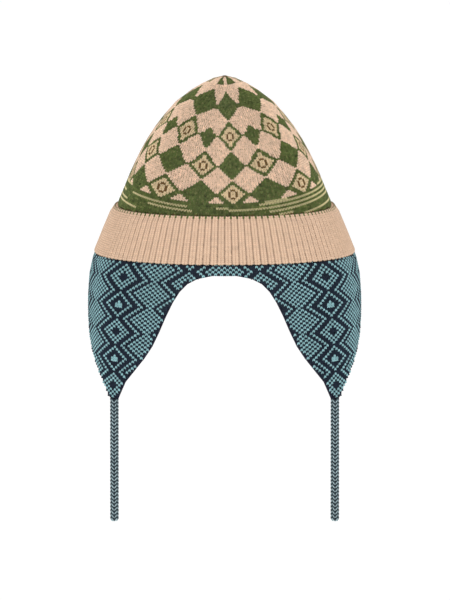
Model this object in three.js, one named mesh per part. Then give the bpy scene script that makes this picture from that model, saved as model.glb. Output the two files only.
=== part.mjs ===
import * as THREE from "three";

// Units are millimetres and +Z is up. The front of the hat faces -Y and +X is at the right of the front view.
// The origin is the middle of the crown's lower edge, where a head fills the hat.

// Driving sizes
const crownHalfWidth = 87.4;
const crownHeight = 106.6;
const extraHalfDepth = 10;
const squarenessRatio = 2.2;
const crownWall = 2.6;

const cuffHeight = 37.4;
const cuffTopStep = 1.8;
const cuffHalfWidth = 105.9;
const cuffWall = 3.2;
const ribCount = 120;
const ribDepth = 1.2;

const bandHalfWidth = 111.4;
const bandWall = 2.5;
const rimDrop = 46.5;
const flapTipDrop = 151;
const flapTurn = 0.1456;
const flapFrontTurn = 0.132;
const flapBackTurn = 0.15;

const tieDiameter = 6.4;
const tieLength = 101;
const tieSides = 10;

const seamGap = 0.3;
const layerGap = 0.35;
const knitColumns = 60;
const crownSeamRows = [2, 5];

// Crown outline: rise is a share of crownHeight and spread a share of crownHalfWidth
const crownOutline = [
  { rise: 0.0, spread: 1.0 },
  { rise: 0.04, spread: 0.987 },
  { rise: 0.133, spread: 0.939 },
  { rise: 0.228, spread: 0.893 },
  { rise: 0.322, spread: 0.842 },
  { rise: 0.416, spread: 0.786 },
  { rise: 0.51, spread: 0.722 },
  { rise: 0.604, spread: 0.648 },
  { rise: 0.698, spread: 0.558 },
  { rise: 0.793, spread: 0.456 },
  { rise: 0.84, spread: 0.378 },
  { rise: 0.887, spread: 0.303 },
  { rise: 0.934, spread: 0.207 },
  { rise: 0.975, spread: 0.108 },
];

// Cuff outline: drop is a share of cuffHeight and flare a share of the way out
// from just beyond the crown's lower edge to cuffHalfWidth
const cuffOutline = [
  { drop: 0.0, flare: 0.0 },
  { drop: 0.16, flare: 0.24 },
  { drop: 0.5, flare: 0.557 },
  { drop: 1.0, flare: 1.0 },
];

// Ear band below the cuff: below is a share of the way from the cuff's lower edge to the flap tips
// and spring a share of the way out from the cuff's inside to bandHalfWidth
const bandOutline = [
  { below: 0.0, spring: 0.0 },
  { below: 0.0035, spring: 0.0 },
  { below: 0.0115, spring: 0.36 },
  { below: 0.05, spring: 0.53 },
  { below: 0.115, spring: 0.71 },
  { below: 0.16, spring: 0.83 },
  { below: 0.3, spring: 0.965 },
  { below: 0.43, spring: 1.0 },
  { below: 0.56, spring: 0.99 },
  { below: 0.66, spring: 0.94 },
  { below: 1.0, spring: 0.77 },
];

// A flap's edge: side is a share of flapFrontTurn or flapBackTurn from the tip and fall a share of
// the drop from rim to tip
const flapEdge = [
  { side: 0.0, fall: 1.0 },
  { side: 0.048, fall: 1.0 },
  { side: 0.158, fall: 0.862 },
  { side: 0.284, fall: 0.757 },
  { side: 0.387, fall: 0.662 },
  { side: 0.472, fall: 0.562 },
  { side: 0.539, fall: 0.448 },
  { side: 0.601, fall: 0.324 },
  { side: 0.661, fall: 0.214 },
  { side: 0.719, fall: 0.129 },
  { side: 0.785, fall: 0.067 },
  { side: 0.876, fall: 0.024 },
  { side: 1.0, fall: 0.0 },
];

// Reads a table by straight lines between its rows
function readTable(rows, from, to, value) {
  if (value <= rows[0][from]) return rows[0][to];
  for (let i = 1; i < rows.length; i += 1) {
    const a = rows[i - 1];
    const b = rows[i];
    if (value <= b[from]) {
      return a[to] + ((b[to] - a[to]) * (value - a[from])) / (b[from] - a[from]);
    }
  }
  return rows[rows.length - 1][to];
}

// A point of the squared oval with half sizes of one, at an angle from the front
function ovalPoint(angle, squareness) {
  const s = Math.sin(angle);
  const c = Math.cos(angle);
  const power = 2 / squareness;
  return {
    x: Math.sign(s) * Math.abs(s) ** power,
    y: -Math.sign(c) * Math.abs(c) ** power,
  };
}

// Angles for equal steps of length round the hat's own oval
const turnSteps = 1440;
const turnAngles = [{ turn: 0, angle: 0 }];
{
  let length = 0;
  let last = ovalPoint(0, squarenessRatio);
  for (let i = 1; i <= turnSteps; i += 1) {
    const angle = (2 * Math.PI * i) / turnSteps;
    const next = ovalPoint(angle, squarenessRatio);
    const dx = (next.x - last.x) * crownHalfWidth;
    const dy = (next.y - last.y) * (crownHalfWidth + extraHalfDepth);
    length += Math.hypot(dx, dy);
    turnAngles.push({ turn: length, angle });
    last = next;
  }
  for (const row of turnAngles) row.turn /= length;
}

// The direction at a share of a turn, counted from the front towards +X
function direction(turn, squareness) {
  const share = turn - Math.floor(turn);
  return ovalPoint(readTable(turnAngles, "turn", "angle", share), squareness);
}

// A point of a ring with these half sizes at a height
function ringPoint(turn, halfWidth, halfDepth, height, squareness = squarenessRatio) {
  const d = direction(turn, squareness);
  return [d.x * halfWidth, d.y * halfDepth, height];
}

// Collects points and triangles of one closed body
function newSkin() {
  const points = [];
  const faces = [];
  return {
    add(point) {
      points.push(point);
      return points.length - 1;
    },
    face(a, b, c) {
      faces.push(a, b, c);
    },
    geometry() {
      const made = new THREE.BufferGeometry();
      made.setAttribute("position", new THREE.Float32BufferAttribute(points.flat(), 3));
      made.setIndex(faces);
      made.computeVertexNormals();
      return made;
    },
  };
}

// Joins two rings of the same count; upper is above lower on an outside surface
function joinRings(skin, upper, lower, outside) {
  const count = upper.length;
  for (let i = 0; i < count; i += 1) {
    const j = (i + 1) % count;
    if (outside) {
      skin.face(upper[i], lower[i], lower[j]);
      skin.face(upper[i], lower[j], upper[j]);
    } else {
      skin.face(upper[i], lower[j], lower[i]);
      skin.face(upper[i], upper[j], lower[j]);
    }
  }
}

function meshOf(name, geometry, color, roughness) {
  const material = new THREE.MeshStandardMaterial({ color, roughness, metalness: 0 });
  const mesh = new THREE.Mesh(geometry, material);
  mesh.name = name;
  return mesh;
}

// One ring of the crown at a row of its outline, raised by a gap and set in by an inset
function crownRing(skin, row, inset, raise) {
  const halfWidth = row.spread * (crownHalfWidth - inset);
  const halfDepth = row.spread * (crownHalfWidth + extraHalfDepth - inset);
  const squareness = 2 + (squarenessRatio - 2) * row.spread;
  const height = row.rise * (crownHeight - inset) + raise;
  const ring = [];
  for (let i = 0; i < knitColumns; i += 1) {
    ring.push(skin.add(ringPoint(i / knitColumns, halfWidth, halfDepth, height, squareness)));
  }
  return ring;
}

// Crown: a hollow pointed dome, open below. It is two rings and a point on top, with small gaps between.
function makeCrown(firstRow, lastRow) {
  const rows = crownOutline.slice(firstRow, lastRow + 1);
  const isPoint = lastRow === crownOutline.length - 1;
  const lift = firstRow > 0 ? seamGap : 0;
  const skin = newSkin();
  const layer = (inset) => ({
    rings: rows.map((row, r) => crownRing(skin, row, inset, r === 0 ? lift : 0)),
    top: isPoint ? skin.add([0, 0, crownHeight - inset]) : -1,
  });
  const outer = layer(0);
  const inner = layer(crownWall);
  const last = rows.length - 1;
  for (const [part, outside] of [[outer, true], [inner, false]]) {
    for (let r = 1; r < rows.length; r += 1) {
      joinRings(skin, part.rings[r], part.rings[r - 1], outside);
    }
    if (isPoint) {
      const rim = part.rings[last];
      for (let i = 0; i < rim.length; i += 1) {
        const j = (i + 1) % rim.length;
        if (outside) skin.face(part.top, rim[i], rim[j]);
        else skin.face(part.top, rim[j], rim[i]);
      }
    }
  }
  joinRings(skin, outer.rings[0], inner.rings[0], true);
  if (!isPoint) joinRings(skin, inner.rings[last], outer.rings[last], true);
  return skin.geometry();
}

// The cuff's outside half width at a share of its drop
function cuffOutside(drop) {
  const top = crownHalfWidth + cuffTopStep;
  return top + (cuffHalfWidth - top) * readTable(cuffOutline, "drop", "flare", drop);
}

// The cuff's inside half width at a height
function cuffInside(height) {
  return cuffOutside(-height / cuffHeight) - cuffWall;
}

// Cuff: a flared ring with a rib for each pair of stitches
function makeCuff() {
  const skin = newSkin();
  const crestShares = [0.26, 0.74];
  const outerRings = cuffOutline.map((row) => {
    const halfWidth = cuffOutside(row.drop);
    const height = -seamGap - row.drop * (cuffHeight - seamGap);
    const ring = [];
    for (let i = 0; i < ribCount; i += 1) {
      const groove = halfWidth - ribDepth;
      ring.push(skin.add(ringPoint(i / ribCount, groove, groove + extraHalfDepth, height)));
      for (const share of crestShares) {
        const turn = (i + share) / ribCount;
        ring.push(skin.add(ringPoint(turn, halfWidth, halfWidth + extraHalfDepth, height)));
      }
    }
    return ring;
  });
  const innerRings = cuffOutline.map((row) => {
    const halfWidth = cuffOutside(row.drop) - cuffWall;
    const height = -seamGap - row.drop * (cuffHeight - seamGap);
    const ring = [];
    for (let i = 0; i < ribCount; i += 1) {
      ring.push(skin.add(ringPoint(i / ribCount, halfWidth, halfWidth + extraHalfDepth, height)));
    }
    return ring;
  });
  for (let r = 1; r < cuffOutline.length; r += 1) {
    joinRings(skin, outerRings[r - 1], outerRings[r], true);
    joinRings(skin, innerRings[r - 1], innerRings[r], false);
  }
  const last = cuffOutline.length - 1;
  for (const [outer, inner, top] of [
    [outerRings[0], innerRings[0], true],
    [outerRings[last], innerRings[last], false],
  ]) {
    for (let i = 0; i < ribCount; i += 1) {
      const j = (i + 1) % ribCount;
      const rim = [
        [outer[3 * i], outer[3 * i + 1], inner[i]],
        [outer[3 * i + 1], outer[3 * i + 2], inner[i]],
        [outer[3 * i + 2], inner[j], inner[i]],
        [outer[3 * i + 2], outer[3 * j], inner[j]],
      ];
      for (const [a, b, c] of rim) {
        if (top) skin.face(a, b, c);
        else skin.face(a, c, b);
      }
    }
  }
  return skin.geometry();
}

// How far the ear band's free edge hangs down at a share of a turn
function bandEdge(turn) {
  const share = turn - Math.floor(turn);
  const mirrored = Math.min(share, 1 - share);
  const away = mirrored - flapTurn;
  const side = away < 0 ? -away / flapFrontTurn : away / flapBackTurn;
  const fall = side >= 1 ? 0 : readTable(flapEdge, "side", "fall", side);
  return -(rimDrop + (flapTipDrop - rimDrop) * fall);
}

// The ear band's outside half width at a height: tucked inside the cuff, then sprung outwards
function bandOutside(height) {
  const tucked = cuffInside(Math.max(height, -cuffHeight)) - layerGap;
  if (height >= -cuffHeight) return tucked;
  const below = (-height - cuffHeight) / (flapTipDrop - cuffHeight);
  return tucked + (bandHalfWidth - tucked) * readTable(bandOutline, "below", "spring", below);
}

// Places round the band where its grid has columns: close together at the flaps
function bandTurns() {
  const turns = [];
  const half = [];
  for (const row of flapEdge) {
    half.push(flapTurn + row.side * flapBackTurn);
    if (row.side > 0) half.push(flapTurn - row.side * flapFrontTurn);
  }
  half.sort((a, b) => a - b);
  turns.push(0, ...half);
  const first = half[0];
  const last = half[half.length - 1];
  const backSteps = 30;
  for (let i = 1; i < backSteps; i += 1) {
    turns.push(last + ((1 - 2 * last) * i) / backSteps);
  }
  for (const turn of [...half].reverse()) turns.push(1 - turn);
  return first > 0 ? turns : turns.slice(1);
}

// Ear band: a ring inside the cuff that hangs down in two ear flaps
function makeEarBand() {
  const skin = newSkin();
  const turns = bandTurns();
  const tuckedShares = cuffOutline.map((row) => row.drop);
  const ledgeShares = [bandOutline[1].below, bandOutline[2].below];
  const hangingShares = [0.12, 0.3, 0.52, 0.76, 1.0];
  const ledgeHeights = ledgeShares.map((share) => -cuffHeight - share * (flapTipDrop - cuffHeight));
  const heights = turns.map((turn) => [
    ...tuckedShares.map((share) => -seamGap - share * (cuffHeight - seamGap)),
    ...ledgeHeights,
    ...hangingShares.map((share) => ledgeHeights[1] + share * (bandEdge(turn) - ledgeHeights[1])),
  ]);
  const rows = heights[0].length;
  const layer = (inset) => {
    const rings = [];
    for (let r = 0; r < rows; r += 1) {
      const ring = turns.map((turn, i) => {
        const height = heights[i][r];
        const halfWidth = bandOutside(height) - inset;
        return skin.add(ringPoint(turn, halfWidth, halfWidth + extraHalfDepth, height));
      });
      rings.push(ring);
    }
    return rings;
  };
  const outer = layer(0);
  const inner = layer(bandWall);
  for (let r = 1; r < rows; r += 1) {
    joinRings(skin, outer[r - 1], outer[r], true);
    joinRings(skin, inner[r - 1], inner[r], false);
  }
  joinRings(skin, inner[0], outer[0], true);
  joinRings(skin, outer[rows - 1], inner[rows - 1], true);
  return skin.geometry();
}

// Tie: a round knitted cord that hangs straight down from a flap's tip
function makeTie(side) {
  const turn = side * flapTurn;
  const halfWidth = bandOutside(-flapTipDrop) - bandWall / 2;
  const [x, y] = ringPoint(turn, halfWidth, halfWidth + extraHalfDepth, 0);
  const top = -flapTipDrop - seamGap;
  const route = [
    new THREE.Vector3(x, y, top),
    new THREE.Vector3(x, y, top - tieLength * 0.35),
    new THREE.Vector3(x, y, top - tieLength * 0.7),
    new THREE.Vector3(x, y, top - tieLength),
  ];
  const section = new THREE.Shape();
  for (let i = 0; i < tieSides; i += 1) {
    const angle = (2 * Math.PI * i) / tieSides;
    const px = (tieDiameter / 2) * Math.cos(angle);
    const py = (tieDiameter / 2) * Math.sin(angle);
    if (i === 0) section.moveTo(px, py);
    else section.lineTo(px, py);
  }
  section.closePath();
  return new THREE.ExtrudeGeometry(section, {
    steps: 9,
    bevelEnabled: false,
    extrudePath: new THREE.CatmullRomCurve3(route),
  });
}

const group = new THREE.Group();
group.name = "ear_flap_hat";
const topRow = crownOutline.length - 1;
group.add(meshOf("crown_lower", makeCrown(0, crownSeamRows[0]), 0x5a6136, 0.95));
group.add(meshOf("crown_middle", makeCrown(crownSeamRows[0], crownSeamRows[1]), 0x626a3c, 0.95));
group.add(meshOf("crown_upper", makeCrown(crownSeamRows[1], topRow), 0x6a7042, 0.95));
group.add(meshOf("cuff", makeCuff(), 0xd8b69b, 0.95));
group.add(meshOf("ear_band", makeEarBand(), 0x5f8a8c, 0.95));
group.add(meshOf("tie_left", makeTie(-1), 0x5f8a8c, 0.95));
group.add(meshOf("tie_right", makeTie(1), 0x5f8a8c, 0.95));

export default group;
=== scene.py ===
import math

import bpy
import numpy as np
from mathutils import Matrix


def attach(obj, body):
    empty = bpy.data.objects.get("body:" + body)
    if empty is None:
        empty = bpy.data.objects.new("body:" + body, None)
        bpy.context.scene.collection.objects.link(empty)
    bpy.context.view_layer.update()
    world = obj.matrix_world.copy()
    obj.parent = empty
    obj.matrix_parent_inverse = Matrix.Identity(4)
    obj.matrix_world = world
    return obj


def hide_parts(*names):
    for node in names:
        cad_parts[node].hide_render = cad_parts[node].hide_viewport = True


# Everything is in metres and +Z is up. The front of the hat faces -Y.
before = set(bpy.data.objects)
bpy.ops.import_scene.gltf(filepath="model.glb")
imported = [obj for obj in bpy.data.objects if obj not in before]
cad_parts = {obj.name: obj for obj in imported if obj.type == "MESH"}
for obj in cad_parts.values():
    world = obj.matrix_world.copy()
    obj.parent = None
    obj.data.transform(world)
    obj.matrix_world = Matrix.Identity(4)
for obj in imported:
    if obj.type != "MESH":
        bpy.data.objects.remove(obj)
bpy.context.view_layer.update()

# Sizes of the hat, the same as in the CAD
CROWN_HALF_WIDTH = 0.0874
CROWN_HEIGHT = 0.1066
EXTRA_HALF_DEPTH = 0.010
SQUARENESS = 2.2
CUFF_HEIGHT = 0.0374
CUFF_TOP_STEP = 0.0018
CUFF_HALF_WIDTH = 0.1059
CUFF_WALL = 0.0032
RIBS = 120
BAND_HALF_WIDTH = 0.1114
BAND_WALL = 0.0025
RIM_DROP = 0.0465
TIP_DROP = 0.151
FLAP_TURN = 0.1456
FLAP_FRONT_TURN = 0.132
FLAP_BACK_TURN = 0.15
TIE_LENGTH = 0.101
SEAM_GAP = 0.0003
LAYER_GAP = 0.00035

# Crown outline: share of the height, share of the half width
CROWN = np.array([
    (0.0, 1.0), (0.04, 0.987), (0.133, 0.939), (0.228, 0.893), (0.322, 0.842),
    (0.416, 0.786), (0.51, 0.722), (0.604, 0.648), (0.698, 0.558), (0.793, 0.456),
    (0.84, 0.378), (0.887, 0.303), (0.934, 0.207), (0.975, 0.108), (1.0, 0.0),
])
# Cuff outline: share of the drop, share of the way out
CUFF = np.array([(0.0, 0.0), (0.16, 0.24), (0.5, 0.557), (1.0, 1.0)])
# Ear band below the cuff: share of the way down, share of the way out
BAND = np.array([
    (0.0, 0.0), (0.0035, 0.0), (0.0115, 0.36), (0.05, 0.53), (0.115, 0.71), (0.16, 0.83),
    (0.3, 0.965), (0.43, 1.0), (0.56, 0.99), (0.66, 0.94), (1.0, 0.77),
])
# A flap's edge: share of the way from the tip to the flap's front or back end, share of the drop
FLAP = np.array([
    (0.0, 1.0), (0.048, 1.0), (0.158, 0.862), (0.284, 0.757), (0.387, 0.662),
    (0.472, 0.562), (0.539, 0.448), (0.601, 0.324), (0.661, 0.214), (0.719, 0.129),
    (0.785, 0.067), (0.876, 0.024), (1.0, 0.0),
])

# Yarn colours
GREEN = (88, 101, 53)
BROWN = (112, 84, 48)
SAND = (238, 207, 180)
CREAM = (212, 200, 150)
IVORY = (226, 202, 162)
CUFF_SAND = (217, 185, 158)
TEAL = (147, 191, 196)
NAVY = (31, 42, 57)
TIE_TEAL = (168, 190, 195)
TIE_NAVY = (42, 58, 66)
GREEN_FLECK = (136, 130, 84)
SAND_FLECK = (150, 112, 84)
IVORY_FLECK = (140, 110, 72)
# The two tones of each purl side
# The crown's green tone is darker than the green yarn: painted shade in the gaps between stitches
CROWN_BACK = ((66, 74, 38), (112, 92, 62))
# The cuff's tones are lighter than the cuff yarn: painted light against the shade in the grooves
# between the ribs
CUFF_BACK = ((236, 198, 168), (238, 204, 176))
# The band's first tone is darker than the navy yarn: painted shade in the gaps between stitches
BAND_BACK = ((26, 24, 40), (34, 38, 54))

# A stitch's leg: up in heights of the stitch; across, out, half width, half thickness in its widths
LEG_STATIONS = [
    (-0.78, 0.050, -0.03, 0.0, 0.0),
    (-0.34, 0.165, 0.14, 0.205, 0.17),
    (0.40, 0.310, 0.18, 0.215, 0.18),
    (0.88, 0.430, -0.03, 0.0, 0.0),
]
# The same for the narrow wales of a tie
TIE_STATIONS = [
    (-0.72, 0.020, -0.06, 0.0, 0.0),
    (-0.36, 0.130, 0.06, 0.135, 0.10),
    (0.34, 0.380, 0.06, 0.135, 0.10),
    (0.72, 0.480, -0.06, 0.0, 0.0),
]
# The same for a rib of the cuff, with its legs side by side
RIB_STATIONS = [
    (-0.95, 0.120, 0.04, 0.0, 0.0),
    (-0.46, 0.165, 0.07, 0.255, 0.09),
    (0.46, 0.205, 0.08, 0.265, 0.10),
    (0.98, 0.250, 0.04, 0.0, 0.0),
]
# A leg is a point, two rings of four points and a point
RING_POINTS = 4
LEG_POINTS = 2 + 2 * RING_POINTS
STITCH_POINTS = 2 * LEG_POINTS
# How far single stitches turn and differ in width
STITCH_TURN = 0.035
STITCH_SIZE = 0.03

# Steps for the directions of a surface: share of a turn, height, rows
TURN_STEP = 0.0004
HEIGHT_STEP = 0.0006
ROW_STEP = 0.3
# Nothing is divided by a length below this one
SHORTEST = 1e-9


def at(table, place):
    """A table's second column at a place between the values of its first."""
    return np.interp(place, table[:, 0], table[:, 1])


def link_object(name, data):
    """A new object in the scene."""
    made = bpy.data.objects.new(name, data)
    bpy.context.scene.collection.objects.link(made)
    return made


def oval(angle, squareness):
    """The sides of a rounded square's outline at an angle from the front."""
    s, c = np.sin(angle), np.cos(angle)
    power = 2.0 / squareness
    return np.sign(s) * np.abs(s) ** power, -np.sign(c) * np.abs(c) ** power


# The crown's outline at its foot: angles, and the share of the way round at each
OUTLINE_POINTS = 2881
ANGLES = np.linspace(0.0, 2.0 * math.pi, OUTLINE_POINTS)
outline_x, outline_y = oval(ANGLES, SQUARENESS)
outline_steps = np.hypot(
    np.diff(outline_x) * CROWN_HALF_WIDTH,
    np.diff(outline_y) * (CROWN_HALF_WIDTH + EXTRA_HALF_DEPTH),
)
TURNS = np.concatenate([[0.0], np.cumsum(outline_steps)])
# The way round in half widths
GIRTH = TURNS[-1] / CROWN_HALF_WIDTH
TURNS = TURNS / TURNS[-1]

# The way up the crown's front, at each point of its outline
CROWN_HEIGHTS = CROWN[:, 0] * CROWN_HEIGHT
crown_fronts = CROWN[:, 1] * (CROWN_HALF_WIDTH + EXTRA_HALF_DEPTH)
crown_steps = np.hypot(np.diff(CROWN_HEIGHTS), np.diff(crown_fronts))
CROWN_LENGTHS = np.concatenate([[0.0], np.cumsum(crown_steps)])
CROWN_LENGTH = CROWN_LENGTHS[-1]


def ring(turn, half_width, half_depth, height, squareness=SQUARENESS):
    """Points round the hat's oval at shares of a turn, counted from the front towards +X."""
    turn = np.asarray(turn, float)
    x, y = oval(np.interp(turn - np.floor(turn), TURNS, ANGLES), squareness)
    height = np.broadcast_to(height, x.shape)
    return np.stack([x * half_width, y * half_depth, height], axis=-1)


def crown_surface(turn, length):
    """The crown's outside at a way up its front."""
    spread = np.interp(length, CROWN_LENGTHS, CROWN[:, 1])
    height = np.interp(length, CROWN_LENGTHS, CROWN_HEIGHTS)
    return ring(
        turn,
        spread * CROWN_HALF_WIDTH,
        spread * (CROWN_HALF_WIDTH + EXTRA_HALF_DEPTH),
        height,
        2.0 + (SQUARENESS - 2.0) * spread,
    )


def cuff_outside(height):
    """The cuff's half width at a height."""
    drop = np.clip(-height / CUFF_HEIGHT, 0.0, 1.0)
    top = CROWN_HALF_WIDTH + CUFF_TOP_STEP
    return top + (CUFF_HALF_WIDTH - top) * at(CUFF, drop)


def cuff_surface(turn, height):
    """The cuff's outside at a height."""
    half = cuff_outside(height)
    return ring(turn, half, half + EXTRA_HALF_DEPTH, height)


def band_outside(height):
    """The ear band's half width at a height: inside the cuff first, then further out."""
    tucked = cuff_outside(height) - CUFF_WALL - LAYER_GAP
    below = np.clip((-height - CUFF_HEIGHT) / (TIP_DROP - CUFF_HEIGHT), 0.0, 1.0)
    return tucked + (BAND_HALF_WIDTH - tucked) * at(BAND, below)


def band_surface(turn, height):
    """The ear band's outside at a height."""
    half = band_outside(height)
    return ring(turn, half, half + EXTRA_HALF_DEPTH, height)


def band_edge(turn):
    """The height of the ear band's free edge at a share of a turn."""
    share = turn - np.floor(turn)
    away = np.minimum(share, 1.0 - share) - FLAP_TURN
    side = np.where(away < 0.0, -away / FLAP_FRONT_TURN, away / FLAP_BACK_TURN)
    fall = np.where(side >= 1.0, 0.0, at(FLAP, side))
    return -(RIM_DROP + (TIP_DROP - RIM_DROP) * fall)


def unit_length(vectors):
    """The vectors' directions."""
    return vectors / np.maximum(np.linalg.norm(vectors, axis=1, keepdims=True), SHORTEST)


def frame_at(surface, turn, up, turn_step, up_step):
    """A surface's point, and its directions along, up and out."""
    point = surface(turn, up)
    along = unit_length(surface(turn + turn_step, up) - surface(turn - turn_step, up))
    rise = unit_length(surface(turn, up + up_step) - surface(turn, up - up_step))
    return point, along, rise, unit_length(np.cross(along, rise))


def stitch_points(stitches, stations, fullness, rng):
    """The points of both legs of each stitch, each stitch a little different."""
    point, along, rise, out, width, height, upright = stitches
    turn_by = rng.normal(0.0, STITCH_TURN, len(point))
    size_by = 1.0 + rng.normal(0.0, STITCH_SIZE, len(point))
    points = []
    for side in (-1.0, 1.0):
        for up, across, lift, half, thick in stations:
            spots = [(0, 0)] if half == 0.0 else [(0, 1), (1, 0), (0, -1), (-1, 0)]
            for dx, dz in spots:
                x = side * across + dx * half * fullness + up * turn_by
                z = lift + dz * thick * fullness
                points.append(
                    point
                    + along * (x * width * size_by)[:, None]
                    + rise * (up * height * upright)[:, None]
                    + out * (z * width)[:, None]
                )
    return np.stack(points, axis=1).reshape(-1, 3)


def stitch_triangles():
    """The triangles of the two legs of one stitch."""
    triangles = []
    for start in (0, LEG_POINTS):
        low, high = start + 1, start + 1 + RING_POINTS
        for i in range(RING_POINTS):
            j = (i + 1) % RING_POINTS
            triangles.append((start, low + j, low + i))
            triangles.append((low + i, low + j, high + i))
            triangles.append((low + j, high + j, high + i))
            triangles.append((high + i, high + j, start + LEG_POINTS - 1))
    return np.array(triangles)


STITCH_TRIANGLES = stitch_triangles()
# Where each point of a stitch lies: which leg, round the leg, and along it
LEG_OF = np.repeat((0.0, 1.0), LEG_POINTS)
AROUND = np.array(([0.5] + 2 * [0.25, 0.5, 0.75, 1.0] + [0.5]) * 2)
LENGTHWISE = np.array(([0.0] + [0.25] * RING_POINTS + [0.75] * RING_POINTS + [1.0]) * 2)
# A stitch's cell in the map for baking: its margin, what is left, and a leg's share of that
CELL_MARGIN, CELL_INSIDE, LEG_SHARE = 0.08, 0.84, 0.42


def stitch_mesh(name, stitches, slots, materials, stations, fullness=1.0, cells_across=None):
    """A mesh of knit stitches. stitches is (point, along, rise, out, width, height, upright)."""
    count = len(stitches[0])
    rng = np.random.default_rng(len(name) * 97 + count)
    tone = rng.normal(0.0, 1.0, count)
    points = stitch_points(stitches, stations, fullness, rng)
    first = np.arange(count) * STITCH_POINTS
    triangles = (first[:, None, None] + STITCH_TRIANGLES[None]).reshape(-1, 3)
    # A stitch whose rows run downwards is a mirror image, so its triangles turn over
    flip = np.repeat(stitches[6] < 0, len(STITCH_TRIANGLES))
    triangles[flip] = triangles[flip][:, ::-1]
    mesh = bpy.data.meshes.new(name)
    mesh.vertices.add(len(points))
    mesh.vertices.foreach_set("co", points.astype(np.float32).ravel())
    mesh.loops.add(len(triangles) * 3)
    mesh.loops.foreach_set("vertex_index", triangles.astype(np.int32).ravel())
    mesh.polygons.add(len(triangles))
    starts = np.arange(0, len(triangles) * 3, 3, dtype=np.int32)
    mesh.polygons.foreach_set("loop_start", starts)
    slot_of = np.repeat(slots, len(STITCH_TRIANGLES)).astype(np.int32)
    mesh.polygons.foreach_set("material_index", slot_of)
    mesh.polygons.foreach_set("use_smooth", np.ones(len(triangles), bool))
    add_maps(mesh, triangles.ravel(), count, cells_across or int(math.ceil(math.sqrt(count))))
    tones = mesh.attributes.new("tone", "FLOAT", "POINT")
    tones.data.foreach_set("value", np.repeat(tone, STITCH_POINTS).astype(np.float32))
    mesh.update()
    for material in materials:
        mesh.materials.append(material)
    return link_object(name, mesh)


def add_maps(mesh, corners, count, cells_across):
    """One map along the yarn of each leg, and one with a cell of its own for each stitch."""
    point_of = corners % STITCH_POINTS
    stitch_of = corners // STITCH_POINTS
    yarn_map = mesh.uv_layers.new(name="yarn")
    uv = np.stack([AROUND[point_of], LENGTHWISE[point_of]], axis=1)
    yarn_map.data.foreach_set("uv", uv.astype(np.float32).ravel())
    bake_map = mesh.uv_layers.new(name="OFBake")
    cell = 1.0 / cells_across
    cell_x = (np.arange(count) % cells_across) * cell
    cell_y = (np.arange(count) // cells_across) * cell
    beside = 0.5 * LEG_OF[point_of] + LEG_SHARE * AROUND[point_of]
    inner = CELL_MARGIN + CELL_INSIDE * np.stack([beside, LENGTHWISE[point_of]], axis=1)
    uv = np.stack([cell_x[stitch_of], cell_y[stitch_of]], axis=1) + inner * cell
    bake_map.data.foreach_set("uv", uv.astype(np.float32).ravel())
    mesh.uv_layers.active = yarn_map


def linear(colour):
    """A screen colour of 0 to 255 as the linear colour that the shader takes."""
    shares = [v / 255 for v in colour]
    return tuple(v / 12.92 if v <= 0.04045 else ((v + 0.055) / 1.055) ** 2.4 for v in shares)


def new_material(name, values):
    """A material, its node tree and its shader with these input values."""
    material = bpy.data.materials.new(name)
    material.use_nodes = True
    shader = material.node_tree.nodes["Principled BSDF"]
    for key, value in values.items():
        shader.inputs[key].default_value = value
    return material, material.node_tree, shader


def add_node(tree, kind, values=None, **settings):
    """A shader node with its settings and its input values."""
    node = tree.nodes.new("ShaderNode" + kind)
    for key, value in settings.items():
        setattr(node, key, value)
    for key, value in (values or {}).items():
        node.inputs[key].default_value = value
    return node


def product_of(tree, first, second):
    """Two outputs multiplied."""
    node = add_node(tree, "Math", operation="MULTIPLY")
    tree.links.new(first, node.inputs[0])
    tree.links.new(second, node.inputs[1])
    return node.outputs["Value"]


def mixed_colours(tree, first, second, share):
    """The first colour, with a share of the second."""
    colours = {"A": (*linear(first), 1.0), "B": (*linear(second), 1.0)}
    node = add_node(tree, "Mix", colours, data_type="RGBA")
    tree.links.new(share, node.inputs["Factor"])
    return node.outputs["Result"]


def add_bump(tree, shader, height, strength, distance):
    """Relief on a shader from an output."""
    bump = add_node(tree, "Bump", {"Strength": strength, "Distance": distance})
    tree.links.new(height, bump.inputs["Height"])
    tree.links.new(bump.outputs["Normal"], shader.inputs["Normal"])


def flecked_colour(tree, where, colour, fleck, share):
    """A yarn's colour with a share of another yarn in spots that are taller than wide."""
    link = tree.links.new
    tall = add_node(tree, "Mapping", {"Scale": (560.0, 560.0, 250.0)})
    link(where.outputs["Object"], tall.inputs["Vector"])
    spots = add_node(tree, "TexVoronoi", {"Scale": 1.0})
    link(tall.outputs["Vector"], spots.inputs["Vector"])
    ranges = {"From Min": 0.16, "From Max": 0.40, "To Min": share, "To Max": 0.0}
    spot_share = add_node(tree, "MapRange", ranges)
    link(spots.outputs["Distance"], spot_share.inputs["Value"])
    return mixed_colours(tree, colour, fleck, spot_share.outputs["Result"])


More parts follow.
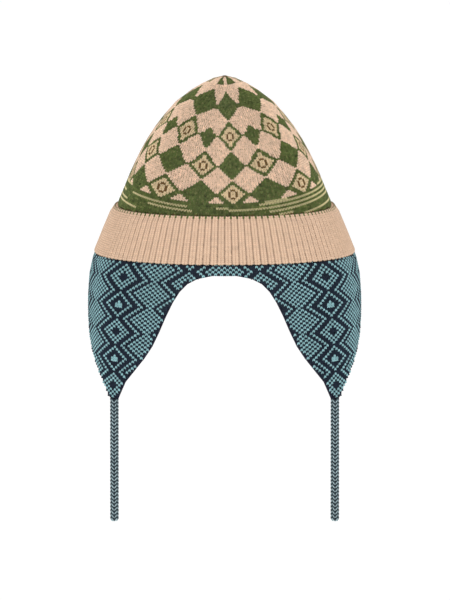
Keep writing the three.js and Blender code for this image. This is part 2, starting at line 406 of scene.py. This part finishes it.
def yarn_material(name, colour, spread, fleck=None, share=0.0):
    """Wool yarn: plies, fine fibres, a tone for each stitch and flecks of another yarn. The ply and
    fibre pattern that makes the bumps also darkens the colour in the ply grooves as painted shade.
    """
    wool = {
        "Roughness": 0.92,
        "Specular IOR Level": 0.1,
        "Sheen Weight": 0.06,
        "Sheen Roughness": 0.6,
    }
    material, tree, shader = new_material(name, wool)
    link = tree.links.new
    along_yarn = add_node(tree, "UVMap", uv_map="yarn")
    bands = {"wave_type": "BANDS", "bands_direction": "DIAGONAL"}
    ply = add_node(tree, "TexWave", {"Scale": 1.1, "Distortion": 1.5}, **bands)
    link(along_yarn.outputs["UV"], ply.inputs["Vector"])
    ply_share = add_node(tree, "MapRange", {"To Min": 0.86, "To Max": 1.08})
    link(ply.outputs["Fac"], ply_share.inputs["Value"])
    where = add_node(tree, "TexCoord")
    fibre = add_node(tree, "TexNoise", {"Scale": 1400.0, "Detail": 3.0})
    link(where.outputs["Object"], fibre.inputs["Vector"])
    ranges = {"From Min": 0.3, "From Max": 0.7, "To Min": 0.86, "To Max": 1.12}
    fibre_share = add_node(tree, "MapRange", ranges)
    link(fibre.outputs["Fac"], fibre_share.inputs["Value"])
    relief_and_shade = product_of(tree, ply_share.outputs["Result"], fibre_share.outputs["Result"])
    tone = add_node(tree, "Attribute", attribute_name="tone")
    tone_share = add_node(tree, "Math", {1: spread, 2: 1.0}, operation="MULTIPLY_ADD")
    link(tone.outputs["Fac"], tone_share.inputs[0])
    tint = add_node(tree, "VectorMath", {0: linear(colour)}, operation="SCALE")
    if fleck:
        link(flecked_colour(tree, where, colour, fleck, share), tint.inputs[0])
    # The colour is scaled by the ply and fibre pattern: painted shade in the ply grooves, a mottle
    # from the fibres, and the stitch's tone
    link(product_of(tree, relief_and_shade, tone_share.outputs["Value"]), tint.inputs["Scale"])
    link(tint.outputs["Vector"], shader.inputs["Base Color"])
    add_bump(tree, shader, relief_and_shade, strength=0.5, distance=0.0002)
    return material


def backing_material(name, tones, row, wales):
    """The purl side: bumps in rows, with two tones mixed in patches as the yarns' floats show. The
    tones are shifted from the yarns' colours: darker as painted shade in the gaps between stitches,
    or lighter as painted light against that shade.
    """
    material, tree, shader = new_material(name, {"Roughness": 0.95, "Specular IOR Level": 0.1})
    link = tree.links.new
    where = add_node(tree, "TexCoord")
    apart = add_node(tree, "SeparateXYZ")
    link(where.outputs["Object"], apart.inputs["Vector"])
    angle = add_node(tree, "Math", operation="ARCTAN2")
    link(apart.outputs["X"], angle.inputs[0])
    link(apart.outputs["Y"], angle.inputs[1])
    waves = []
    rows = 2.0 * math.pi / row
    for source, amount in ((angle.outputs["Value"], wales), (apart.outputs["Z"], rows)):
        times = add_node(tree, "Math", {1: amount}, operation="MULTIPLY")
        link(source, times.inputs[0])
        sine = add_node(tree, "Math", operation="SINE")
        link(times.outputs["Value"], sine.inputs[0])
        waves.append(sine.outputs["Value"])
    patches = add_node(tree, "TexNoise", {"Scale": 320.0, "Detail": 2.0})
    link(where.outputs["Object"], patches.inputs["Vector"])
    patch_share = add_node(tree, "MapRange", {"From Min": 0.42, "From Max": 0.58})
    link(patches.outputs["Fac"], patch_share.inputs["Value"])
    mixed = mixed_colours(tree, *tones, patch_share.outputs["Result"])
    link(mixed, shader.inputs["Base Color"])
    add_bump(tree, shader, product_of(tree, *waves), strength=0.9, distance=0.0005)
    return material


# Heights of the rows of stitches
CROWN_ROW = 0.00172
CUFF_ROW = 0.00172
BAND_ROW = 0.00171
TIE_ROW = 0.00152
# Stitches round the band
BAND_STITCHES = 288
# The purl side: wales round the crown, and the height of the cuff's rows
CROWN_BACK_WALES = 240
CUFF_BACK_ROW = 0.00167

# Yarns: colour, how much the stitches differ in tone, and for some the flecks and their share
green_yarn = yarn_material("green_yarn", GREEN, 0.20, GREEN_FLECK, 0.6)
brown_yarn = yarn_material("brown_yarn", BROWN, 0.09)
sand_yarn = yarn_material("sand_yarn", SAND, 0.08, SAND_FLECK, 0.55)
cream_yarn = yarn_material("cream_yarn", CREAM, 0.06)
ivory_yarn = yarn_material("ivory_yarn", IVORY, 0.07, IVORY_FLECK, 0.5)
cuff_yarn = yarn_material("cuff_yarn", CUFF_SAND, 0.03)
teal_yarn = yarn_material("teal_yarn", TEAL, 0.07)
navy_yarn = yarn_material("navy_yarn", NAVY, 0.12)
tie_pale_yarn = yarn_material("tie_pale_yarn", TIE_TEAL, 0.07)
tie_navy_yarn = yarn_material("tie_navy_yarn", TIE_NAVY, 0.12)
# Purl sides: the two tones, the height of a row and the wales all round
crown_back = backing_material("crown_backing", CROWN_BACK, CROWN_ROW, CROWN_BACK_WALES)
cuff_back = backing_material("cuff_backing", CUFF_BACK, CUFF_BACK_ROW, RIBS)
band_back = backing_material("band_backing", BAND_BACK, BAND_ROW, BAND_STITCHES)

for node, back in (
    ("crown_lower", crown_back),
    ("crown_middle", crown_back),
    ("crown_upper", crown_back),
    ("cuff", cuff_back),
    ("ear_band", band_back),
):
    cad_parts[node].data.materials.clear()
    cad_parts[node].data.materials.append(back)

# Ties: round knitted cords with rows of teal and navy in turn
TIE_WALES = 4
TIE_CORE = 0.0028
TIE_SUNK = 0.0002
TIE_TWIST = 0.01
TIE_STITCH = TIE_ROW * 1.7
# The rows in turn: navy and pale
TIE_YARNS = [tie_navy_yarn, tie_pale_yarn]
TIE_FULLNESS = np.array((1.10, 0.84))
# The stitches close in over this height at the lower end
TIE_END = 0.0032
# Steps for the directions of a tie's surface: share of a turn, height
TIE_TURN_STEP, TIE_HEIGHT_STEP = 0.01, 0.0002
# Cells side by side in the map for baking
TIE_CELLS = 24
CORE_POINTS = 10
CORE_TIP_GAP = 0.0006
# The smallest share of the radius at the core's tip, and of its square in the stitches
THINNEST = 0.02
# A tie hangs below the middle of the flap's wall
flap_half = float(band_outside(np.array(-TIP_DROP))) - BAND_WALL / 2
TIE_X, TIE_Y = ring(np.array(FLAP_TURN), flap_half, flap_half + EXTRA_HALF_DEPTH, 0.0)[:2]
TIE_TOP = -TIP_DROP - SEAM_GAP
TIE_BOTTOM = TIE_TOP - TIE_LENGTH


def tie_knit(name, side):
    """The stitches of a tie, round its core."""
    x, y = side * float(TIE_X), float(TIE_Y)

    def tube(turn, height):
        end = np.clip((height - TIE_BOTTOM) / TIE_END, 0.0, 1.0)
        radius = TIE_CORE * np.sqrt(np.clip(1.0 - (1.0 - end) ** 2, THINNEST, 1.0))
        a = 2.0 * math.pi * turn
        return np.stack([x + radius * np.sin(a), y - radius * np.cos(a), height], axis=-1)

    rows = int(round(TIE_LENGTH / TIE_ROW))
    row, wale = np.meshgrid(np.arange(rows), np.arange(TIE_WALES), indexing="ij")
    row, wale = row.ravel(), wale.ravel()
    height = TIE_TOP - (row + 0.5) * TIE_ROW
    turn = wale / TIE_WALES + TIE_TWIST * side
    point, along, rise, out = frame_at(tube, turn, height, TIE_TURN_STEP, TIE_HEIGHT_STEP)
    point = point - out * TIE_SUNK
    count = len(row)
    width = np.full(count, 2.0 * math.pi * (TIE_CORE + TIE_SUNK) / TIE_WALES)
    stitches = (point, along, rise, out, width, np.full(count, TIE_STITCH), np.ones(count))
    yarn = row % 2
    fullness = TIE_FULLNESS[yarn]
    return stitch_mesh(name, stitches, yarn, TIE_YARNS, TIE_STATIONS, fullness, TIE_CELLS)


def tie_core(name, side):
    """The inside of a tie, with a round lower end: the band's dark purl side, partly the navy of the
    yarn, partly painted shade inside the cord.
    """
    data = bpy.data.curves.new(name, "CURVE")
    data.dimensions = "3D"
    data.bevel_depth = TIE_CORE
    data.bevel_resolution = 3
    data.use_fill_caps = True
    spline = data.splines.new("POLY")
    spline.points.add(CORE_POINTS - 1)
    for i, spot in enumerate(spline.points):
        angle = max(0.0, i - 1) / (CORE_POINTS - 2) * math.pi / 2
        rounded = TIE_BOTTOM + CORE_TIP_GAP + TIE_CORE * (1.0 - math.sin(angle))
        spot.co = (side * float(TIE_X), float(TIE_Y), TIE_TOP if i == 0 else rounded, 1.0)
        spot.radius = 1.0 if i == 0 else max(THINNEST, math.cos(angle))
    # Dark purl side on the core: partly navy yarn, partly painted shade inside the cord
    data.materials.append(band_back)
    return link_object(name, data)


for name, side in (("tie_left", -1.0), ("tie_right", 1.0)):
    knit = tie_knit(name + "_knit", side)
    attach(knit, "root")
    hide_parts(name)
    core = tie_core(name + "_core", side)
    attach(core, "root")

# Crown: ten wedges, each 28 stitches wide at its foot, in rows of stitches up to the point
WEDGES = 10
PATTERN_TURN = 0.0126
FIRST_ROW, END_ROW = -6, 100
# The stitches stay this far above the crown's edge and below its point
FOOT_CLEAR, POINT_CLEAR = 0.0004, 0.0006
# Pieces: name, first row, end
CROWN_PIECES = (
    ("crown_knit_foot", FIRST_ROW, 12),
    ("crown_knit_low", 12, 30),
    ("crown_knit_middle", 30, 52),
    ("crown_knit_top", 52, END_ROW),
)
# Width of a wedge: row, stitches
WEDGE_WIDTHS = np.array([
    (-8, 28), (32, 28), (42, 24), (52, 18), (64, 12), (75, 7), (82, 4), (88, 2), (99, 2),
])
# How far the rows lie below even steps, and rise at the sides and half way to them: row, distance
ROW_DIP = np.array([(50, 0.0030), (84, 0.0)])
SIDE_LIFT = np.array([(12, 0.0122), (26, 0.0154), (60, 0.00924), (84, 0.0)])
QUARTER_LIFT = np.array([(26, 0.0), (42, 0.0026), (58, 0.0052), (70, 0.00416), (86, 0.0)])
# How far the wales lie from even steps: row, then degrees at 0, 9, 18 ... 90 degrees from the front
CROWN_SHIFT = np.array([
    (-8, 0, 0.0, 0.6, 3.5, 7.2, 10.0, 11.5, 10.8, 8.0, 4.2, 0),
    (12, 0, 0.0, 0.6, 3.5, 7.2, 10.0, 11.5, 10.8, 8.0, 4.2, 0),
    (26, 0, -0.3, 0.2, 3.0, 6.6, 9.6, 11.5, 10.8, 8.0, 4.2, 0),
    (42, 0, -0.3, -0.3, 0.0, 0.6, 1.5, 3.0, 3.5, 3.0, 1.5, 0),
    (58, 0, -2.6, -4.5, -5.0, -4.5, -3.0, -1.0, 0.0, 0.0, 0.0, 0),
    (70, 0, -4.2, -7.2, -8.8, -8.6, -7.0, -4.5, -2.5, -1.2, -0.5, 0),
    (76, 0, 7.0, 12.0, 14.0, 13.0, 11.0, 8.0, 5.0, 3.0, 1.0, 0),
    (101, 0, 7.0, 12.0, 14.0, 13.0, 11.0, 8.0, 5.0, 3.0, 1.0, 0),
])
# The step between the degrees as a share of a turn, and the last place, just inside the last column
SHIFT_STEP = 9 / 360.0
LAST_SHIFT = 9.999

# The pattern's slots: green, sand, brown, cream and ivory
G, S, B, C, I = range(5)
CROWN_YARNS = [green_yarn, sand_yarn, brown_yarn, cream_yarn, ivory_yarn]
CREAM_FULLNESS = 0.72
# Half the width of a diamond in stitches
HALF_DIAMOND = 7
# The rows of the diamonds' middles, level by level from the first level up
FIRST_LEVEL = -2
DIAMOND_ROWS = np.array([-2, 5, 12, 19, 26, 34, 42, 51, 58, 69, 79, 91])
DIAMOND_LEVELS = np.arange(len(DIAMOND_ROWS)) + FIRST_LEVEL
# Below the diamonds: the foot, one row higher at the sides, and the low triangles
FOOT_ROW = 8
FOOT_TURN = 0.155
TRIANGLE_LEVEL = -1
TRIANGLE_TOP = 10.6
# A diamond with a rosette is green outside this reach, in stitches, and lies below this level
FRAME_REACH = 4.9
ROSETTE_END = 6
# A rosette's brown stitches: column from the diamond's middle, row from the middle
ROSETTE = {(-2, -1), (-2, 0), (-2, 1), (1, -1), (1, 0), (1, 1), (-1, -2), (0, -2), (-1, 2), (0, 2)}
# Rows where the petals, the star and the closing stitches start
PETAL_ROW, STAR_ROW, CLOSING_ROW = 58, 76, 85
# How far the sand petals reach from a wedge's edges to its middle: row, share
PETALS = np.array([
    (59.5, 0.0), (61, 0.12), (63, 0.24), (65.5, 0.42), (68, 0.68), (70, 0.9), (71, 1.0),
])
# Cream rows low on the crown: row, from and to as shares of a turn from the front
CREAM_ROWS = [
    (8, -0.40, -0.155), (5, -0.140, -0.050), (4, -0.34, -0.178), (3, -0.100, -0.044),
    (1, -0.36, -0.200), (5, -0.013, 0.004), (4, 0.006, 0.25), (6, 0.047, 0.30),
    (7, 0.056, 0.084), (2, 0.058, 0.34), (8, 0.155, 0.42), (0, 0.050, 0.088),
    (1, -0.30, -0.150), (-1, -0.30, -0.118), (-2, 0.10, 0.30),
]


def nearest_diamond(middle, level):
    """How far off the nearest diamond's middle is, in diamonds, and its place across and up."""
    places = [
        (abs(middle / HALF_DIAMOND - across) + abs(level - up), across, up)
        for up in (math.floor(level), math.floor(level) + 1)
        for across in range(-3, 4)
        if (across + up) % 2 == 0
    ]
    return min(places, key=lambda place: place[0])


def crown_colour(column, row, wedge, turn, wide):
    """The yarn of a crown stitch: its column is counted from the middle of its wedge."""
    if row >= CLOSING_ROW:
        return B
    right = turn - math.floor(turn + 0.5)
    if row < FOOT_ROW or (row == FOOT_ROW and abs(right) > FOOT_TURN):
        cream = any(row == there and start < right < end for there, start, end in CREAM_ROWS)
        return C if cream else G
    middle = column + 0.5
    off, across, up = nearest_diamond(middle, np.interp(row, DIAMOND_ROWS, DIAMOND_LEVELS))
    if up == TRIANGLE_LEVEL:
        return S if abs(abs(middle) - HALF_DIAMOND) <= TRIANGLE_TOP - row else G
    if row >= STAR_ROW:
        stripe = column == -1 and wide >= 4
        return G if wedge % 2 == 0 and not stripe else S
    if row >= PETAL_ROW:
        inward = 1.0 - abs(middle) / (0.5 * wide)
        return S if inward < at(PETALS, row) else G
    if up % 2 == 1:
        return S
    # Every second one of the other diamonds has a rosette
    if (across // 2 + up // 2) % 2 == 1 or up >= ROSETTE_END or off * HALF_DIAMOND > FRAME_REACH:
        return G
    spot = (column - HALF_DIAMOND * across, int(row - DIAMOND_ROWS[up - FIRST_LEVEL]))
    return B if spot in ROSETTE else I


def wale_shift(turn, row):
    """How far a wale lies from its even step, the same in all four quarters."""
    quarter = np.abs(turn - np.floor(turn + 0.5))
    quarter = np.where(quarter > 0.25, 0.5 - quarter, quarter)
    side = np.sign(np.sin(4.0 * math.pi * turn))
    across = np.clip(quarter / SHIFT_STEP, 0.0, LAST_SHIFT)
    left = np.floor(across).astype(int)
    up = np.interp(row, CROWN_SHIFT[:, 0], np.arange(len(CROWN_SHIFT)))
    low = np.clip(np.floor(up).astype(int), 0, len(CROWN_SHIFT) - 2)
    shift = 0.0
    for high, right in ((0, 0), (0, 1), (1, 0), (1, 1)):
        share_up = up - low if high else 1.0 - up + low
        share_across = across - left if right else 1.0 - across + left
        shift = shift + share_up * share_across * CROWN_SHIFT[low + high, 1 + left + right]
    return side * shift / 360.0


def crown_place(turn, row):
    """Where the rows and wales of the crown lie: share of a turn and way up."""
    where = turn + wale_shift(turn, row)
    side = np.sin(2.0 * math.pi * where) ** 2
    quarter = np.sin(4.0 * math.pi * where) ** 2
    way = (row + 0.5) * CROWN_ROW - at(ROW_DIP, row)
    return where, way + at(SIDE_LIFT, row) * side + at(QUARTER_LIFT, row) * quarter


def crown_rows(turn, row):
    """The crown's outside at a wale and a row."""
    return crown_surface(*crown_place(turn, row))


def crown_cells():
    """Row, share of a turn, width of the wedge and yarn of each of the crown's stitches."""
    cells = []
    for row in range(FIRST_ROW, END_ROW):
        wide = max(2, 2 * int(round(at(WEDGE_WIDTHS, row) / 2)))
        for wedge in range(WEDGES):
            for column in range(-wide // 2, wide // 2):
                turn = (wedge + (column + 0.5) / wide) / WEDGES + PATTERN_TURN
                way = crown_place(np.array(turn), float(row))[1]
                if FOOT_CLEAR < way < CROWN_LENGTH - POINT_CLEAR:
                    yarn = crown_colour(column, row, wedge, turn, wide)
                    cells.append((float(row), turn, wide, yarn))
    return (np.array(values) for values in zip(*cells))


row, turn, wide, yarn = crown_cells()
point, along, rise, out = frame_at(crown_rows, turn, row, TURN_STEP, ROW_STEP)
# The stitches stand square to their row
rise = np.cross(out, along)
half_step = 0.5 / (WEDGES * wide)
share = crown_place(turn + half_step, row)[0] - crown_place(turn - half_step, row)[0]
spread = np.interp(crown_place(turn, row)[1], CROWN_LENGTHS, CROWN[:, 1])
width = spread * CROWN_HALF_WIDTH * GIRTH * share
height = np.full(len(row), CROWN_ROW)
stitches = (point, along, rise, out, width, height, np.ones(len(row)))
fullness = np.where(yarn == C, CREAM_FULLNESS, 1.0)
for name, low, high in CROWN_PIECES:
    pick = (row >= low) & (row < high)
    picked = [values[pick] for values in stitches]
    piece = stitch_mesh(name, picked, yarn[pick], CROWN_YARNS, LEG_STATIONS, fullness[pick])
    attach(piece, "root")

# Cuff: a rib of knit stitches on each ridge
CUFF_ROWS = 23
CUFF_YARNS = [cuff_yarn, green_yarn]
# Width of a stitch as a share of the space between the ribs' middles
RIB_WIDTH = 1.13
# In the first row the crown's green yarn shows between the ribs: place, distance out, share of a rib
TICK_ROW = 0.4
TICK_OUT = 0.0007
TICK_WIDTH = 0.31


def cuff_row_height(row):
    """The height of a place counted in rows from the cuff's upper edge."""
    return -SEAM_GAP - row / CUFF_ROWS * (CUFF_HEIGHT - SEAM_GAP)


row, rib = np.meshgrid(np.arange(CUFF_ROWS), np.arange(RIBS), indexing="ij")
height = cuff_row_height(row.ravel() + 0.5)
ribs = frame_at(cuff_surface, (rib.ravel() + 0.5) / RIBS, height, TURN_STEP, HEIGHT_STEP)
rib_width = cuff_outside(height) * GIRTH / RIBS * RIB_WIDTH
tick_height = np.full(RIBS, cuff_row_height(TICK_ROW))
ticks = frame_at(cuff_surface, np.arange(RIBS) / RIBS, tick_height, TURN_STEP, HEIGHT_STEP)
ticks = (ticks[0] + ticks[3] * TICK_OUT, *ticks[1:])
point, along, rise, out = (np.concatenate(pair) for pair in zip(ribs, ticks))
width = np.concatenate((rib_width, np.full(RIBS, rib_width[0] * TICK_WIDTH)))
yarn = np.repeat((0, 1), (len(rib_width), RIBS))
height = np.full(len(width), CUFF_ROW)
stitches = (point, along, rise, out, width, height, np.ones(len(width)))
piece = stitch_mesh("cuff_knit", stitches, yarn, CUFF_YARNS, RIB_STATIONS)
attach(piece, "root")

# Ear band: rows of stitches down to the free edge; the flaps lean outwards
BAND_ROWS = (-6, 66)
# No stitch lies above this height, and row 0 lies at the next one in front
BAND_TOP = -0.0345
FIRST_ROW_HEIGHT = -0.0436
# Widths of a stitch
NARROWEST, WIDEST = 0.0018, 0.0032
# Lean of the wales in turns a metre down; shares of a turn where it grows in front, fades at the back
LEAN = 0.202
LEAN_START, LEAN_END = 0.03, 0.19
# How far the wales lie from even steps: share of a turn from the front, shift towards the back
BAND_SHIFT = np.array([
    (0.0, 0.0), (0.042, -0.0022), (0.083, -0.0056), (0.125, -0.0012), (0.167, 0.0112),
    (0.21, 0.019), (0.25, 0.0215), (0.30, 0.0195), (0.36, 0.0135), (0.43, 0.0058), (0.5, 0.0),
])
# Rows towards the ears: columns from the front, how far row 0 rises, share of a row's height
BAND_FAN = np.array([
    (0, 0.0, 1.0), (12, 0.0006, 1.02), (24, 0.0018, 1.045), (36, 0.0044, 1.09),
    (48, 0.0030, 1.055), (60, 0.0012, 1.02), (74, 0.0, 1.0), (144, 0.0, 1.0),
])
BAND_START, BAND_TALL = BAND_FAN[:, :2], BAND_FAN[:, ::2]
# How far the stitches stay above the free edge: share of a turn from the front, distance
EDGE_MARGIN = np.array([(0.06, 0.0008), (0.09, 0.0004)])
# The pattern's slots: teal and navy
T, N = range(2)
BAND_YARNS = [teal_yarn, navy_yarn]
BAND_FULLNESS = np.array((1.06, 0.90))
# The rows down to this one are plain navy: partly the band's own navy row, partly painted shade under
# the cuff's edge
PLAIN_ROW = -4
# Columns from one stack of diamonds to the next, and rows from one diamond to the next in a stack
PITCH = 12
# Reach of the checks, of the lines round the diamonds and of the shapes inside the lines
CHECK_REACH, LINE_REACH, INNER_REACH = 6, 9, 5


def band_colour(column, row):
    """The yarn of a band stitch, its row counted down from the first checked diamond's middle."""
    # Plain navy rows under the cuff: partly the band's own row, partly painted shade
    if row <= PLAIN_ROW:
        return N
    # The checked diamonds
    column = column % (2 * PITCH)
    across = min(column, 2 * PITCH - column)
    down = (row + PITCH // 2) % PITCH - PITCH // 2
    if across + abs(down) <= CHECK_REACH:
        return T if (across + down) % 2 == 0 else N
    if across + abs(down) == LINE_REACH:
        return T
    # The diamonds between them, with a frame and a star or with checks inside
    across, down = PITCH - across, row % PITCH - PITCH // 2
    reach = across + abs(down)
    if reach == LINE_REACH:
        return T
    if (row // PITCH) % 2 == 1:
        star = (across == 0 and abs(down) <= 1) or (across == 1 and down in (0, 1))
        return T if star or reach == INNER_REACH else N
    return T if 1 < reach <= INNER_REACH and (across + down) % 2 == 1 else N


def band_height(column, row):
    """The height of a column in a row."""
    size = np.abs(column)
    return FIRST_ROW_HEIGHT + at(BAND_START, size) - row * BAND_ROW * at(BAND_TALL, size)


def band_turn(column, height):
    """The share of a turn of a column at a height, with the flaps' lean."""
    share = column / BAND_STITCHES
    size = np.abs(share)
    lean = LEAN * np.maximum(0.0, FIRST_ROW_HEIGHT - height)
    lean = lean * np.clip(size / LEAN_START, 0.0, 1.0) * np.clip((0.5 - size) / LEAN_END, 0.0, 1.0)
    return share + np.sign(share) * (at(BAND_SHIFT, size) + lean)


def band_cells():
    """Column, row and yarn of each of the band's stitches."""
    cells = []
    for row in range(*BAND_ROWS):
        for column in range(-BAND_STITCHES // 2, BAND_STITCHES // 2):
            level = float(band_height(column, row))
            turn = float(band_turn(np.array(float(column)), level))
            edge = float(band_edge(np.array(turn)))
            if BAND_TOP > level > edge + at(EDGE_MARGIN, abs(turn)):
                cells.append((float(column), float(row), band_colour(abs(column), row)))
    return (np.array(values) for values in zip(*cells))


column, row, yarn = band_cells()
level = band_height(column, row)
turn = band_turn(column, level)
point, along, rise, out = frame_at(band_surface, turn, level, TURN_STEP, HEIGHT_STEP)
share = band_turn(column + 0.5, level) - band_turn(column - 0.5, level)
width = np.clip(band_outside(level) * GIRTH * share, NARROWEST, WIDEST)
height = BAND_ROW * at(BAND_TALL, np.abs(column))
# The rows run downwards
stitches = (point, along, rise, out, width, height, -np.ones(len(row)))
fullness = BAND_FULLNESS[yarn]
for name, pick in (("band_knit_left", turn < 0), ("band_knit_right", turn >= 0)):
    picked = [values[pick] for values in stitches]
    piece = stitch_mesh(name, picked, yarn[pick], BAND_YARNS, LEG_STATIONS, fullness[pick])
    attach(piece, "root")

# Floor: plain and pale, far below the hat
FLOOR_HEIGHT = -0.75
FLOOR_REACH = 16.0
PALE = (0.93, 0.93, 0.93, 1.0)
WHITE = (1.0, 1.0, 1.0, 1.0)
FLOOR_GLOW = 0.16
floor_look = {
    "Base Color": PALE,
    "Roughness": 0.9,
    "Emission Color": WHITE,
    "Emission Strength": FLOOR_GLOW,
}
plain = new_material("plain_white", floor_look)[0]
floor_mesh = bpy.data.meshes.new("floor")
corners = [(-1, -1), (1, -1), (1, 1), (-1, 1)]
spots = [(x * FLOOR_REACH, y * FLOOR_REACH, FLOOR_HEIGHT) for x, y in corners]
floor_mesh.from_pydata(spots, [], [(0, 1, 2, 3)])
floor_mesh.materials.append(plain)
floor = link_object("floor", floor_mesh)

# Light: a soft key from the upper left, a weaker fill from the right and a bright surround
LIGHT_AIM = np.array([0.0, 0.0, -0.05])
LIGHT_SIZE = 1.6
# Name, place, power
LIGHTS = (("key", (-0.6, -2.3, 1.3), 15.0), ("fill", (0.9, -2.3, 0.4), 6.0))
# Strength of the white world
SURROUND = 0.92


def area_light(name, place, power):
    """A square soft light that points at the hat."""
    data = bpy.data.lights.new(name, "AREA")
    data.shape = "RECTANGLE"
    data.size, data.size_y = LIGHT_SIZE, LIGHT_SIZE
    data.energy = power
    light = link_object(name, data)
    light.location = place
    toward = LIGHT_AIM - np.array(place)
    toward /= np.linalg.norm(toward)
    yaw = math.atan2(toward[0], -toward[1]) + math.pi
    light.rotation_euler = (math.acos(-toward[2]), 0.0, yaw)


for name, place, power in LIGHTS:
    area_light(name, place, power)
world = bpy.data.worlds.new("studio")
world.use_nodes = True
background = world.node_tree.nodes["Background"]
background.inputs["Color"].default_value = WHITE
background.inputs["Strength"].default_value = SURROUND
bpy.context.scene.world = world

# Camera: from the front and six degrees above, with a long lens
ELEVATION = math.radians(6.0)
CAMERA_DISTANCE = 10.0
VIEW_HEIGHT = 0.492
SENSOR_HEIGHT = 24.0
FAR_CLIP = 30.0
AIM = np.array([0.0003, 0.0, -0.0783])
camera_data = bpy.data.cameras.new("camera")
camera_data.sensor_fit = "VERTICAL"
camera_data.sensor_height = SENSOR_HEIGHT
camera_data.lens = SENSOR_HEIGHT * CAMERA_DISTANCE / VIEW_HEIGHT
camera_data.clip_end = FAR_CLIP
camera = link_object("camera", camera_data)
away = np.array([0.0, -math.cos(ELEVATION), math.sin(ELEVATION)])
camera.location = AIM + CAMERA_DISTANCE * away
camera.rotation_euler = (math.pi / 2 - ELEVATION, 0.0, 0.0)
bpy.context.scene.camera = camera
bpy.context.scene.view_settings.view_transform = "Standard"
